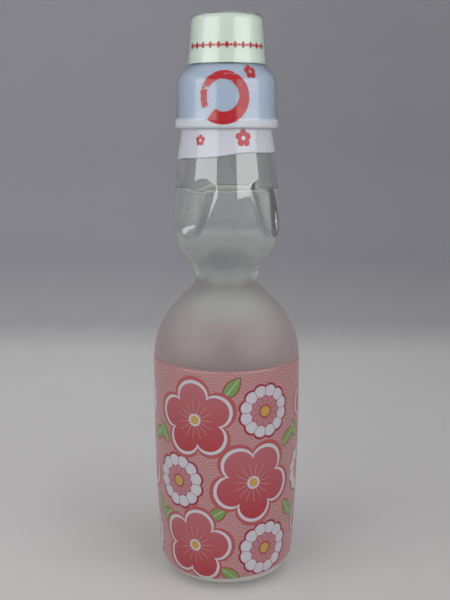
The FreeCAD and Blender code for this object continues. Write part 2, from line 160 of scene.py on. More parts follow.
class GlassSizes(bpy.types.PropertyGroup):
    """Outline of the glass from the foot to the lip, with its walls, dents and haze."""
    barrel_radius: length("Barrel radius", GLASS_HIGH.x, "Widest radius of the barrel")
    heel_draw: length("Heel draw", 0.0019, "How much narrower the barrel is above the heel")
    heel_width: length("Heel width", 0.01, "Width of the rounded heel")
    heel_height: length("Heel height", 0.0115, "Height of the rounded heel")
    belly_share: share("Belly", 0.72, "Height of the widest ring along the barrel")
    shoulder_draw: length("Shoulder draw", 0.00015, "How much the barrel draws in at the label's top")
    label_top: length("Label top", LABEL_HIGH.z, "Height at which the barrel ends")
    punt_rim_width: length("Punt rim", 0.0026, "Width of the ring that the bottle stands on")
    punt_depth: length("Punt depth", 0.0034, "Rise of the dome under the foot")
    shoulder_height: length("Shoulder height", 0.0313, "Height from the label's top to the waist")
    shoulder_full_share: share("Shoulder fullness", 0.62, "How long the shoulder keeps the barrel's run")
    waist_full_share: share("Waist fullness", 0.2, "How long the waist stays upright below")
    waist_radius: length("Waist radius", 0.0124, "Radius outside at the pinched waist")
    funnel_height: length("Funnel height", 0.0202, "Height from the waist to the widest chamber ring")
    funnel_low_share: share("Funnel start", 0.36, "How long the waist stays upright above")
    funnel_high_share: share("Funnel end", 0.45, "How long the funnel runs into the chamber")
    chamber_radius: length("Chamber radius", 0.0211, "Widest radius of the marble chamber")
    chamber_height: length("Chamber height", 0.0379, "Height from the widest ring to the collar")
    chamber_full_share: share("Chamber fullness", 0.51, "How long the chamber stays upright")
    collar_full_share: share("Collar fullness", 0.28, "How long the chamber runs into the collar")
    collar_radius: length("Collar radius", 0.01735, "Radius where the chamber meets the finish")
    collar_slope_share: share("Collar slope", 0.13, "Lean of the chamber at the collar")
    finish_step: length("Finish step", 0.001, "Height of the step above the collar")
    finish_radius: length("Finish radius", 0.0164, "Radius of the finish under the cap")
    bead_rise: length("Bead rise", 0.0006, "How far the locking bead stands out")
    bead_width: length("Bead width", 0.0014, "Width of the locking bead")
    bead_drop: length("Bead drop", 0.0096, "Depth of the bead below the lip")
    lip_round: length("Lip round", 0.0012, "Rounding of the lip")
    wall: length("Wall", 0.005, "Thickness of the barrel's wall")
    floor_height: length("Floor height", 0.0096, "Height of the inside floor")
    throat_radius: length("Throat radius", 0.00725, "Inside radius at the waist")
    throat_full_share: share("Throat fullness", 0.16, "How long the inside stays upright below the throat")
    chamber_wall: length("Chamber wall", 0.0032, "Thickness of the chamber's wall")
    bore_radius: length("Bore radius", 0.0093, "Inside radius of the finish")
    crown_height: length("Crown height", 0.006, "Height in which the chamber closes to the bore")
    crown_share: share("Crown fullness", 0.45, "How long the crown's curve stays upright")
    dent_low: length("Dent low end", 0.1474, "Height at which the dents' round lower ends begin")
    dent_length: length("Dent length", 0.0102, "Height of the dents between their round ends")
    dent_depth: length("Dent depth", 0.0029, "Depth of each dent")
    dent_reach: length("Dent reach", 0.0066, "Distance from a dent's middle line to its rim")
    dent_foot_share: share("Dent foot", 0.9, "Length of a dent's lower end as a share of its reach")
    dent_spread: angle("Dent spread", 43, "Half the angle between the dents")
    dent_lean: angle("Dent lean", 9, "How much closer the dents are at their upper ends")
    dent_turn: angle("Dent turn", 8, "Turn of the pair of dents from the front")
    clear_roughness: share("Clear roughness", 0.015, "Roughness of the clear glass")
    haze: share("Haze", 0.4, "Roughness that the haze adds at the shoulder")
    haze_start: length("Haze start", 0.002, "Height over which the haze starts at the label's top")
    haze_top: length("Haze top", 0.1335, "Height at which the shoulder's haze is half gone")
    haze_fade: length("Haze fade", 0.02, "Height over which the haze fades into clear glass")


class DrinkSizes(bpy.types.PropertyGroup):
    """Fill of the bottle."""
    level: length("Level", 0.1592, "Height of the drink's surface")
    meniscus: length("Meniscus", 0.0011, "How far the surface climbs the glass")
    meniscus_width: length("Meniscus width", 0.0022, "Width of the climbing rim")
    overlap: length("Overlap", 0.00004, "How far the drink reaches into the glass to leave no air")


class FilmSizes(bpy.types.PropertyGroup):
    """Shrink film over opener, cap and neck."""
    clearance: length("Clearance", 0.0001, "Distance of the film from what it wraps")
    thickness: length("Thickness", 0.0002, "Thickness of the film")
    skirt: length("Skirt", 0.0096, "Length of the skirt below the collar")
    tilt: angle("Tilt", 3.4, "Slant of the skirt's cut edge")
    flare: length("Flare", 0.0002, "How far the cut edge stands off the glass")
    hole: length("Hole", 0.009, "Radius of the hole in the top")
    web: length("Web", 0.0012, "Radius with which the film spans an inner corner")
    span: length("Span", 0.0016, "Distance from the opener at which the film leaves the cap's dome")
    ramp: length("Ramp", 0.0045, "Height over which the film runs from the flange to the cap's wall")
    wrinkle: length("Wrinkle", 0.00012, "Height of the shrink wrinkles")
    web_lift: length("Web lift", 0.0015, "Height of the lower wrinkles above the opener's foot")
    web_reach: length("Web reach", 0.003, "How far the lower wrinkles run up and down")
    top_reach: length("Top reach", 0.004, "How far the upper wrinkles run down from the top")
    top_depth: length("Top depth", 0.0015, "Depth over which the unevenness of the top starts")
    top_wave: length("Top wave", 0.0009, "Unevenness of the film's turned-in top and cut edge")
    flange_height: length("Flange height", 0.0024, "Height of the cap's flange")
    flange_rise: length("Flange rise", 0.00055, "How far the flange stands out from the cap")
    flange_round: length("Flange round", 0.00044, "Rounding of the flange")
    cap_draft: length("Cap draft", 0.0004, "How much the cap narrows upwards")
    dome_round: length("Dome round", 0.008, "Rounding of the cap's shoulder")
    opener_top_radius: length("Opener top", 0.01355, "Radius of the opener at its top")
    opener_round: length("Opener round", 0.002, "Rounding of the opener's top edge")
    # The thin white cover of the cap's flange is a painted highlight
    flange_highlight: share("Veil", 0.3, "Cover of the thin white print on the cap's flange")
    flange_highlight_rise: length("Veil rise", 0.003, "Height of the thin white print above the flange's lower edge")
    flange_highlight_fade: length("Veil fade", 0.0012, "Height over which the thin white print starts")
    skirt_fade: length("Skirt fade", 0.0002, "Height over which the full white print starts")
    skirt_cover: share("Skirt cover", 0.97, "Cover of the full white print")
    clearness: share("Clearness", 0.97, "Share of the lamps' light that passes the clear film")
    row_height: length("Row height", 0.2133, "Height of the row of lozenges on the opener")
    row_pitch: length("Row pitch", 0.0031, "Distance between lozenges")
    row_reach: angle("Row reach", 65.9, "Angle from the front to the row's ends")
    ring_height: length("Ring height", 0.1946, "Height of the brush ring's middle on the cap")
    ring_aside: length("Ring aside", -0.0012, "Place of the brush ring's middle across the cap")
    ring_radius: length("Ring radius", 0.0078, "Radius of the brush ring")


class LabelSizes(bpy.types.PropertyGroup):
    """Shrink label round the barrel."""
    overlap: length("Overlap", 0.00003, "How far the label reaches into the glass to leave no air")
    clearance: length("Clearance", 0.00005, "Distance of the label from the glass in the packed part")
    thickness: length("Thickness", 0.00015, "Thickness of the label in the packed part")
    repeat_width: length("Repeat", 0.0627, "Width of one repeat of the print")
    margin: length("Margin", 0.0030, "Height of the unprinted margin at the lower edge")
    margin_tilt: length("Margin tilt", 0.0014, "Rise of the margin from the front to the right")
    margin_edge: length("Margin edge", 0.0005, "Softness of the margin's upper edge")
    panel_place: length("Panel place", 0.061, "Place of the bare panel's middle round the label")
    panel_width: length("Panel width", 0.043, "Width of the bare panel")
    panel_line: length("Panel line", 0.0007, "Width of the line along the bare panel")
    wave_share: share("Wave width", 1 / 6, "Width of a wave as a share of the repeat")
    wave_cover: share("Wave cover", 0.4, "Cover of the waves' ink")
    clearness: share("Clearness", 0.55, "Share of the lamps' light that passes each side of the label")


class BottleColours(bpy.types.PropertyGroup):
    """Colours that a user would change."""
    glass: colour("Glass", shown(238, 241, 238), "Cast of the clear glass")
    drink: colour("Drink", shown(254, 254, 254), "Cast of the drink")
    marble: colour("Marble", shown(226, 242, 238), "Cast of the marble")
    cap: colour("Cap", shown(143, 162, 184), "Plastic of the mouth cap")
    opener: colour("Opener", shown(186, 203, 187), "Plastic of the opener and its plunger")
    rubber: colour("Rubber", shown(92, 92, 90), "Rubber of the seal")
    skirt: colour("Film skirt", shown(200, 202, 211), "White print of the film's skirt")
    brush: colour("Film print", shown(176, 32, 42), "Red print of the film")
    ground: colour("Label ground", shown(168, 128, 128), "Pink ground of the label")
    rose: colour("Label rose", shown(156, 38, 48), "Strong red of the label's large blossoms")
    outline: colour("Label outline", shown(138, 26, 54), "Crimson lines of the label")
    petal: colour("Label petal", shown(182, 180, 188), "White petals of the label")
    leaf: colour("Label leaf", shown(106, 138, 66), "Green leaves of the label")
    gold: colour("Label gold", shown(176, 140, 66), "Yellow hearts of the flowers of the label")
    margin: colour("Label margin", shown(184, 182, 176), "Unprinted lower margin of the label")
    panel: colour("Label panel", shown(178, 160, 157), "Bare pale panel of the label")
    backing: colour("Label backing", shown(192, 158, 164), "Unprinted inner side of the label")
    floor: colour("Floor", shown(222, 219, 216), "Studio floor")
    backdrop: colour("Backdrop", shown(148, 147, 153), "Studio backdrop")
    daylight: colour("Daylight", (0.95, 0.97, 1), "Cast of the light from all round")


class StageSizes(bpy.types.PropertyGroup):
    """Camera, windows and backdrop."""
    lens: amount("Lens", 51, "Focal length of the camera in millimetres")
    camera_pitch: angle("Camera pitch", 11.3, "How far the camera looks down")
    camera_aside: length("Camera aside", -0.00068, "Camera's place across")
    camera_distance: length("Camera distance", 0.339, "Camera's distance from the bottle's axis")
    camera_height: length("Camera height", 0.1824, "Camera's height over the floor")
    floor_back: length("Floor back", 0.46, "Depth at which the floor turns up into the backdrop")
    sweep_radius: length("Sweep radius", 0.16, "Radius of the turn between floor and backdrop")
    stage_reach: length("Stage reach", 1.6, "Half width, front reach and height of the stage")
    # The stage's darkening towards the right is painted shade
    falloff: share("Falloff", 0.16, "How much darker the stage is at the right")
    shade_falloff_width: length("Falloff width", 0.3, "Width over which the stage darkens")
    shade_falloff_place: length("Falloff place", 0.05, "Place across at which the stage is half darkened")
    blend_depth: length("Blend depth", 0.224, "Depth over which the floor's colour becomes the backdrop's")
    mottle: share("Mottle", 0.06, "Strength of the stage's faint mottle")
    window_width: length("Window width", 1.3, "Width of each window light")
    window_height: length("Window height", 0.62, "Height of each window light")
    window_distance: length("Window distance", 1.3, "Distance of each window light")
    window_low: length("Window low edge", 0.23, "Height of the lower edge of the window lights")
    window_turn: angle("Window turn", 49, "Angle of each window light from the front")
    window_power: amount("Window power", 7.4, "Power of each window light in watts")
    ambient: amount("Ambient", 0.36, "Strength of the light from all round")
    overhead: amount("Overhead", 0.75, "Strength of the light from straight above")
    overhead_focus: amount("Overhead focus", 1.5, "How closely the overhead light keeps to the top")


# Outlines: rows of radius and height, in which a curve leaves its last point to what follows

def bezier(start, low, high, end, count):
    """Points on a cubic Bezier curve, without its end."""
    t = np.linspace(0, 1, count, endpoint=False)[:, None]
    poles = [np.array(pole) for pole in (start, low, high, end)]
    weights = [(1 - t) ** 3, 3 * t * (1 - t) ** 2, 3 * t ** 2 * (1 - t), t ** 3]
    return sum(weight * pole for weight, pole in zip(weights, poles))


def arc_through(start, middle, end, count):
    """Points on the circle through three points, without the last."""
    a, b, c = (np.array(p) for p in (start, middle, end))
    sides = np.array([b - a, c - a]) * 2
    squares = np.array([b @ b - a @ a, c @ c - a @ a])
    centre = np.linalg.solve(sides, squares)
    turns = np.unwrap([math.atan2(*(p - centre)[::-1]) for p in (a, b, c)])
    steps = np.linspace(turns[0], turns[2], count, endpoint=False)
    radius = np.linalg.norm(a - centre)
    return centre + radius * np.column_stack([np.cos(steps), np.sin(steps)])


def softened(stations, count):
    """Polyline through pairs of a corner and its round, with an arc in each corner that has a round."""
    corners = [np.array(corner) for corner, _ in stations]
    rows = [corners[0][None]]
    for before, corner, after, (_, radius) in zip(corners, corners[1:], corners[2:], stations[1:]):
        if not radius:
            rows.append(corner[None])
            continue
        back = (before - corner) / np.linalg.norm(before - corner)
        ahead = (after - corner) / np.linalg.norm(after - corner)
        half = math.acos(back @ ahead) / 2
        cut_back = radius / math.tan(half)
        middle = (back + ahead) / np.linalg.norm(back + ahead)
        inside = corner + middle * (radius / math.sin(half) - radius)
        end = corner + ahead * cut_back
        rows.append(arc_through(corner + back * cut_back, inside, end, count))
        rows.append(end[None])
    rows.append(corners[-1][None])
    return np.vstack(rows)


def spread(points, step):
    """The same polyline with points added, so that none is further than a step from the next."""
    rows = []
    for start, end in zip(points, points[1:]):
        count = max(1, math.ceil(np.linalg.norm(end - start) / step))
        rows.append(np.linspace(start, end, count, endpoint=False))
    rows.append(points[-1:])
    return np.vstack(rows)


def neck_heights(g):
    """Heights of the waist, the chamber's widest ring and the collar."""
    waist = g.label_top + g.shoulder_height
    chamber = waist + g.funnel_height
    return waist, chamber, chamber + g.chamber_height


def barrel_outline(g, grow):
    """Outside of heel and barrel, and the point where it ends."""
    radius = g.barrel_radius + grow
    foot = np.array([radius - g.heel_draw - g.heel_width, 0])
    heel = np.array([radius - g.heel_draw, g.heel_height])
    belly = np.array([radius, g.heel_height + g.belly_share * (g.label_top - g.heel_height)])
    edge = np.array([radius - g.shoulder_draw, g.label_top])
    low = foot + (QUARTER_SHARE * g.heel_width, 0)
    high = heel - (0, QUARTER_SHARE * g.heel_height)
    return np.vstack([bezier(foot, low, high, heel, count=28),
                      arc_through(heel, belly, edge, count=64)]), edge


def neck_outline(g, way, start, waist_radius, waist_share, widest_radius):
    """Shoulder and funnel, which meet upright at the waist."""
    waist_height, chamber_height, _ = neck_heights(g)
    waist = np.array([waist_radius, waist_height])
    widest = np.array([widest_radius, chamber_height])
    up = np.array([0, 1])
    shoulder = bezier(start, start + way * (g.shoulder_full_share * g.shoulder_height),
                      waist - up * (waist_share * g.shoulder_height), waist, count=44)
    funnel = bezier(waist, waist + up * (g.funnel_low_share * g.funnel_height),
                    widest - up * (g.funnel_high_share * g.funnel_height), widest, count=32)
    return np.vstack([shoulder, funnel])


def chamber_outline(g, grow):
    """Upper side of the marble chamber, and the collar where it ends."""
    _, chamber_height, collar_height = neck_heights(g)
    widest = np.array([g.chamber_radius + grow, chamber_height])
    collar = np.array([g.collar_radius + grow, collar_height])
    drop = g.collar_full_share * g.chamber_height
    low = widest + (0, g.chamber_full_share * g.chamber_height)
    high = collar + (g.collar_slope_share * drop, -drop)
    return bezier(widest, low, high, collar, count=72), collar


def direction_out(outline, end):
    """Direction in which an outline reaches its end."""
    step = end - outline[-1]
    return step / np.linalg.norm(step)


def glass_outside(g):
    """Outside of the glass from the foot to the rounded lip."""
    barrel, edge = barrel_outline(g, 0)
    way = direction_out(barrel, edge)
    neck = neck_outline(g, way, edge, g.waist_radius, g.waist_full_share, g.chamber_radius)
    chamber, collar = chamber_outline(g, 0)
    lip = GLASS_HIGH.z
    bead = g.finish_radius + g.bead_rise
    bead_low = lip - g.bead_drop
    bead_top = bead_low + g.bead_width
    finish = softened([
        (collar, None),
        ((g.finish_radius, collar[1] + g.finish_step), None),
        ((g.finish_radius, bead_low - g.bead_rise), None),
        ((bead, bead_low), None),
        ((bead, bead_top), None),
        ((g.finish_radius, bead_top + g.bead_rise), None),
        ((g.finish_radius, lip), g.lip_round),
        ((g.bore_radius + g.lip_round, lip), None),
    ], count=6)
    return np.vstack([barrel, neck, chamber, finish])


def glass_inside(g, grow):
    """Inside of the glass from the floor to the bore, moved outwards by the given distance."""
    wall = g.wall - grow
    heel_reach = g.heel_width - g.wall / 2
    side = g.barrel_radius - wall
    low = side - g.heel_draw
    floor = g.floor_height - grow
    heel = np.array([low, floor + g.heel_height - g.wall / 2])
    belly = np.array([side, g.heel_height + g.belly_share * (g.label_top - g.heel_height)])
    edge = np.array([side - g.shoulder_draw, g.label_top])
    foot = np.array([low - heel_reach, floor])
    low_handle = foot + (QUARTER_SHARE * heel_reach, 0)
    high_handle = heel - (0, QUARTER_SHARE * (heel[1] - floor))
    barrel = arc_through(heel, belly, edge, count=56)
    throat = g.throat_radius + grow
    chamber, collar = chamber_outline(g, grow - g.chamber_wall)
    way = direction_out(barrel, edge)
    neck = neck_outline(g, way, edge, throat, g.throat_full_share, chamber[0][0])
    bore = np.array([g.bore_radius + grow, collar[1] + g.crown_height])
    rise = np.array([0, g.crown_share * g.crown_height])
    crown = bezier(collar, collar + rise, bore - rise, bore, count=16)
    heel_curve = bezier(foot, low_handle, high_handle, heel, count=24)
    return np.vstack([[[0, floor]], heel_curve, barrel, neck, chamber, crown, [bore]])


def glass_outline(g):
    """Whole section of the glass, from the floor on the axis round to the punt on the axis."""
    lip = GLASS_HIGH.z
    bevel = g.lip_round / 3
    lip_edge = np.array([[g.bore_radius, lip - g.lip_round], [g.bore_radius + bevel, lip - bevel]])
    outside = glass_outside(g)[::-1]
    rim = outside[-1][0] - g.punt_rim_width
    ball = (rim ** 2 + g.punt_depth ** 2) / (2 * g.punt_depth)
    across = np.linspace(rim, 0, num=20)
    punt = np.column_stack([across, np.sqrt(ball ** 2 - across ** 2) + g.punt_depth - ball])
    return np.vstack([glass_inside(g, 0), lip_edge, outside, punt])


def drink_outline(g, d):
    """Section of the drink, from the floor on the axis to the surface on the axis."""
    inside = glass_inside(g, d.overlap)
    under = inside[inside[:, 1] < d.level + d.meniscus]
    wall_radius = under[-1][0]
    across = np.linspace(0, 1, num=8)
    rim = np.column_stack([wall_radius - d.meniscus_width * across,
                           d.level + d.meniscus * (1 - across) ** 2])
    surface = np.linspace(rim[-1], [0, d.level], num=14)[1:]
    return np.vstack([under[:-1], rim, surface])


def cap_wall_radius(f, height):
    """Radius of the cap's drafted wall at a height."""
    flange_top = CAP_LOW.z + f.flange_height
    climb = (height - flange_top) / (CAP_HIGH.z - flange_top)
    return CAP_HIGH.x - f.flange_rise - f.cap_draft * climb


def film_outline(g, f, grow):
    """One side of the film, from the skirt's cut edge to the hole in the top."""
    chamber, collar = chamber_outline(g, grow)
    skirt = chamber[chamber[:, 1] > collar[1] - f.skirt]
    flange_low = CAP_LOW.z - grow
    flange_top = CAP_LOW.z + f.flange_height
    edge = f.flange_round + grow
    ramp_top = flange_top + f.ramp
    lower = softened([
        (collar, None),
        ((collar[0], flange_low), None),
        ((CAP_HIGH.x + grow, flange_low), edge),
        ((CAP_HIGH.x + grow, flange_top + grow), edge),
        ((cap_wall_radius(f, ramp_top) + grow, ramp_top), None),
    ], count=10)
    # The film follows the cap's dome and leaves it along a tangent to the foot of the opener
    dome_low = CAP_HIGH.z - f.dome_round
    dome_middle = np.array([cap_wall_radius(f, dome_low) - f.dome_round, dome_low])
    dome_reach = f.dome_round + grow
    opener_foot = OPENER_HIGH.x + grow
    leave = math.acos((opener_foot + f.span - dome_middle[0]) / dome_reach)
    turns = np.linspace(0, leave, num=16)
    dome = dome_middle + dome_reach * np.column_stack([np.cos(turns), np.sin(turns)])
    top = OPENER_HIGH.z + grow
    upper = softened([
        (dome[-1], None),
        ((opener_foot, dome[-1][1] + f.span / math.tan(leave)), f.web),
        ((f.opener_top_radius + grow, top), f.opener_round + grow),
        ((f.hole, top), None),
    ], count=10)
    return np.vstack([skirt, spread(np.vstack([lower, dome[:-1], upper]), FILM_STEP)])


def shell_outline(outer, inner):
    """Closed section of a thin sheet between two outlines."""
    return np.vstack([outer, inner[::-1], outer[:1]])


# Node trees

class Field:
    """A value inside a node tree, so that sums can be written as sums."""

    def __init__(self, tree, socket):
        self.tree = tree
        self.socket = socket

    def math(self, operation, *others, clamp=False):
        """Result of a Math node that takes this value first."""
        node = self.tree.nodes.new("ShaderNodeMath")
        node.operation = operation
        node.use_clamp = clamp
        for socket, value in zip(node.inputs, (self,) + others):
            feed(self.tree, socket, value)
        return Field(self.tree, node.outputs[0])

    def __add__(self, other):
        return self.math("ADD", other)

    def __sub__(self, other):
        return self.math("SUBTRACT", other)

    def __mul__(self, other):
        return self.math("MULTIPLY", other)

    def __truediv__(self, other):
        return self.math("DIVIDE", other)

    def size(self):
        """The value without its sign."""
        return self.math("ABSOLUTE")

    def more(self, other):
        """The larger of this and another value."""
        return self.math("MAXIMUM", other)

    def power(self, exponent):
        """The value raised to an exponent."""
        return self.math("POWER", exponent)

    def sine(self):
        """Sine of the value as an angle."""
        return self.math("SINE")

    def wrapped(self, low, high):
        """The value carried back into a range by whole widths of that range."""
        return self.math("WRAP", high, low)

    def inside(self, softness):
        """Mask that is 1 where the value is above 0, with a soft edge of the given width."""
        return self.math("MULTIPLY_ADD", 1 / softness, 0.5, clamp=True)

    def above(self, limit, softness):
        """Mask that is 1 where the value is above a limit."""
        return (self - limit).inside(softness)

    def below(self, limit, softness):
        """Mask that is 1 where the value is below a limit."""
        return (self * -1 + limit).inside(softness)

    def flipped(self):
        """Mask turned round."""
        return self.math("MULTIPLY_ADD", -1, 1)


def reach(across, up):
    """Distance from the middle of a flat pattern."""
    return (across * across + up * up).math("SQRT")


def with_alpha(value):
    """A colour with full alpha, or anything else as it is."""
    return (*value, 1) if isinstance(value, (tuple, Color)) else value


def feed(tree, socket, value):
    """Link a value to a socket, or set the socket to it."""
    if isinstance(value, Field):
        value = value.socket
    if isinstance(value, bpy.types.NodeSocket):
        tree.links.new(value, socket)
    else:
        socket.default_value = value


def add_node(tree, kind, inputs=None, **settings):
    """Node with its settings made and its named inputs fed."""
    node = tree.nodes.new(kind)
    for name, value in settings.items():
        setattr(node, name, value)
    for name, value in (inputs or {}).items():
        feed(tree, node.inputs[name], value)
    return node


class Finish:
    """A Principled material whose patterns are sums of the piece's own coordinates."""

    def __init__(self, name, **sockets):
        self.material = bpy.data.materials.new(name)
        self.material.use_nodes = True
        self.tree = self.material.node_tree
        self.tree.nodes.clear()
        self.surface = add_node(self.tree, "ShaderNodeBsdfPrincipled")
        output = add_node(self.tree, "ShaderNodeOutputMaterial")
        self.tree.links.new(self.surface.outputs["BSDF"], output.inputs["Surface"])
        self.place = add_node(self.tree, "ShaderNodeTexCoord").outputs["Object"]
        parts = add_node(self.tree, "ShaderNodeSeparateXYZ", {"Vector": self.place}).outputs
        self.x, self.y, self.z = (Field(self.tree, part) for part in parts)
        for socket, value in sockets.items():
            self.give(socket.replace("_", " ").title().replace("Ior", "IOR"), value)

    def give(self, socket, value):
        """Feed one socket of the surface."""
        feed(self.tree, self.surface.inputs[socket], with_alpha(value))

    def turn_angle(self):
        """Angle round the axis, from the front towards +X."""
        return self.x.math("ARCTAN2", self.y * -1)

    def noise(self, scale, stretch=(1, 1, 1), detail=2.0, roughness=0.5):
        """Cloudy values about one half, with lengths along each axis divided by the stretch."""
        mapping = add_node(self.tree, "ShaderNodeMapping", {"Vector": self.place, "Scale": stretch})
        texture = add_node(self.tree, "ShaderNodeTexNoise", {
            "Vector": mapping.outputs[0], "Scale": scale, "Detail": detail, "Roughness": roughness})
        return Field(self.tree, texture.outputs[0])

    def painted(self, ground, mask, paint):
        """Colour of a ground with paint laid over it where the mask is."""
        node = add_node(self.tree, "ShaderNodeMix", data_type="RGBA")
        feed(self.tree, node.inputs[0], mask)
        for socket, value in ((node.inputs[6], ground), (node.inputs[7], paint)):
            feed(self.tree, socket, with_alpha(value))
        return node.outputs[2]

    def bump(self, height, distance):
        """Raise the surface by the values of a pattern times a distance."""
        node = add_node(self.tree, "ShaderNodeBump", {
            "Height": height, "Distance": distance, "Strength": 1})
        self.give("Normal", node.outputs[0])

    def let_light_through(self, clearness):
        """Let a share of the lamps' light through, where a clear surface would cast a full shadow."""
        path = add_node(self.tree, "ShaderNodeLightPath")
        shadow = Field(self.tree, path.outputs["Is Shadow Ray"])
        self.give("Alpha", (shadow * clearness).flipped())


def turned_shell_tree():
    """Geometry Nodes tree that turns a row of points about the Z axis into a closed shell."""
    tree = bpy.data.node_groups.new("Turned shell", "GeometryNodeTree")
    sockets = (
        ("Outline", "INPUT", "NodeSocketGeometry"),
        ("Segments", "INPUT", "NodeSocketInt"),
        ("Join distance", "INPUT", "NodeSocketFloat"),
        ("Material", "INPUT", "NodeSocketMaterial"),
        ("Shell", "OUTPUT", "NodeSocketGeometry"),
    )
    for name, side, kind in sockets:
        tree.interface.new_socket(name, in_out=side, socket_type=kind)
    given = tree.nodes.new("NodeGroupInput").outputs
    rows = add_node(tree, "GeometryNodeAttributeDomainSize", {"Geometry": given["Outline"]})
    row_count = Field(tree, rows.outputs["Point Count"])
    segments = Field(tree, given["Segments"])
    grid = add_node(tree, "GeometryNodeMeshGrid", {
        "Vertices X": segments + 1, "Vertices Y": row_count})
    index = Field(tree, tree.nodes.new("GeometryNodeInputIndex").outputs[0])
    column = (index / row_count).math("FLOOR")
    row = index - column * row_count
    place = add_node(tree, "GeometryNodeSampleIndex", {
        "Geometry": given["Outline"], "Index": row}, data_type="FLOAT_VECTOR")
    own_place = tree.nodes.new("GeometryNodeInputPosition").outputs[0]
    tree.links.new(own_place, place.inputs["Value"])
    # The seam lies at the back, so the turn starts at +Y
    turn = column / segments * math.tau + math.pi / 2
    turned = add_node(tree, "ShaderNodeVectorRotate", {
        "Vector": place.outputs[0], "Angle": turn}, rotation_type="Z_AXIS")
    shell = add_node(tree, "GeometryNodeSetPosition", {
        "Geometry": grid.outputs["Mesh"], "Position": turned.outputs[0]})
    mapped = add_node(tree, "GeometryNodeStoreNamedAttribute", {
        "Geometry": shell.outputs[0], "Name": "UVMap"}, data_type="FLOAT2", domain="CORNER")
    tree.links.new(grid.outputs["UV Map"], mapped.inputs["Value"])
    joined = add_node(tree, "GeometryNodeMergeByDistance", {
        "Geometry": mapped.outputs[0], "Distance": given["Join distance"]})
    smooth = add_node(tree, "GeometryNodeSetShadeSmooth", {"Geometry": joined.outputs[0]})
    real = add_node(tree, "GeometryNodeRealizeInstances", {"Geometry": smooth.outputs[0]})
    finished = add_node(tree, "GeometryNodeSetMaterial", {
        "Geometry": real.outputs[0], "Material": given["Material"]})
    output = tree.nodes.new("NodeGroupOutput")
    tree.links.new(finished.outputs[0], output.inputs["Shell"])
    return tree


def link(piece):
    """Put an object into the scene."""
    bpy.context.scene.collection.objects.link(piece)
    return piece


def turned_piece(name, outline, material):
    """Object whose mesh is the outline turned about the axis, with its faces pointing outwards."""
    tree = bpy.data.node_groups.get("Turned shell") or turned_shell_tree()
    rows = bpy.data.meshes.new(f"{name}_outline")
    rows.from_pydata([(radius, 0, height) for radius, height in outline], [], [])
    maker = link(bpy.data.objects.new(f"{name}_maker", rows))
    modifier = maker.modifiers.new("Turned shell", "NODES")
    modifier.node_group = tree
    settings = {"Segments": SEGMENTS, "Join distance": JOIN_DISTANCE, "Material": material}
    for socket in tree.interface.items_tree:
        if socket.name in settings:
            modifier[socket.identifier] = settings[socket.name]
    evaluated = maker.evaluated_get(bpy.context.evaluated_depsgraph_get())
    mesh = bpy.data.meshes.new_from_object(evaluated)
    bpy.data.objects.remove(maker)
    bpy.data.meshes.remove(rows)
    mesh.name = name
    piece = link(bpy.data.objects.new(name, mesh))
    face_outwards(mesh)
    return piece


def face_outwards(mesh):
    """Turn the faces of a closed shell outwards."""
    work = bmesh.new()
    work.from_mesh(mesh)
    bmesh.ops.recalc_face_normals(work, faces=work.faces)
    work.to_mesh(mesh)
    work.free()


def read_points(mesh):
    """Places of a mesh's points, one row each."""
    flat = np.empty(len(mesh.vertices) * 3)
    mesh.vertices.foreach_get("co", flat)
    return flat.reshape(-1, 3)


def write_points(mesh, points):
    """Move a mesh's points to new places."""
    mesh.vertices.foreach_set("co", points.ravel())
    mesh.update()


def around(points):
    """Radius, angle from the front towards +X, and height of each point."""
    return np.hypot(points[:, 0], points[:, 1]), np.arctan2(points[:, 0], -points[:, 1]), points[:, 2]


def from_around(radius, turn, height):
    """Places of points given round the axis."""
    return np.column_stack([radius * np.sin(turn), -radius * np.cos(turn), height])


def dent_depth(g, turn, height):
    """Depth to which two leaning dents with round ends press in the wall of the chamber."""
    middle = g.dent_low + g.dent_length / 2
    past_end = height - np.clip(height, g.dent_low, g.dent_low + g.dent_length)
    past_end = np.where(past_end < 0, past_end / g.dent_foot_share, past_end)
    climb = np.clip((height - middle) / g.dent_length, -1, 1)
    share_in = np.zeros_like(turn)
    for side in (-1, 1):
        aside = turn - g.dent_turn - side * (g.dent_spread - climb * g.dent_lean)
        distance = np.hypot(aside * g.chamber_radius, past_end) / g.dent_reach
        share_in = np.maximum(share_in, np.clip(1 - distance ** 2, 0, 1) ** DENT_RIM_POWER)
    return g.dent_depth * share_in


# Pieces

def make_glass(g, colours):
    """Clear moulded glass with two dents, hazy at the shoulder."""
    finish = Finish("clear_glass_moulded", base_color=colours.glass, transmission_weight=0.985, ior=1.3,
                    coat_roughness=0.03, coat_ior=1.75)
    finish.bump(finish.noise(scale=90, stretch=(1, 1, 0.45), detail=1.5), distance=0.00006)
    hazy = finish.z.below(g.haze_top, g.haze_fade) * finish.z.above(g.label_top, g.haze_start)
    finish.give("Roughness", hazy * g.haze + g.clear_roughness)
    finish.give("Coat Weight", hazy.flipped())
    finish.let_light_through(clearness=0.92)
    piece = turned_piece("glass", glass_outline(g), finish.material)
    points = read_points(piece.data)
    radius, turn, height = around(points)
    write_points(piece.data, from_around(radius - dent_depth(g, turn, height), turn, height))
    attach(piece, "bottle")
    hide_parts("bottle_glass")


def make_drink(g, d, colours):
    """Clear soda that fills the glass up to its level and follows the dents."""
    finish = Finish("soda", base_color=colours.drink, roughness=0.0, transmission_weight=0.98, ior=1.29)
    finish.let_light_through(clearness=0.96)
    piece = turned_piece("soda", drink_outline(g, d), finish.material)
    points = read_points(piece.data)
    radius, turn, height = around(points)
    inside = glass_inside(g, d.overlap)
    wall = np.interp(height, inside[1:, 1], inside[1:, 0])
    narrowed = 1 - dent_depth(g, turn, height) / wall
    write_points(piece.data, from_around(radius * narrowed, turn, height))
    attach(piece, "bottle")


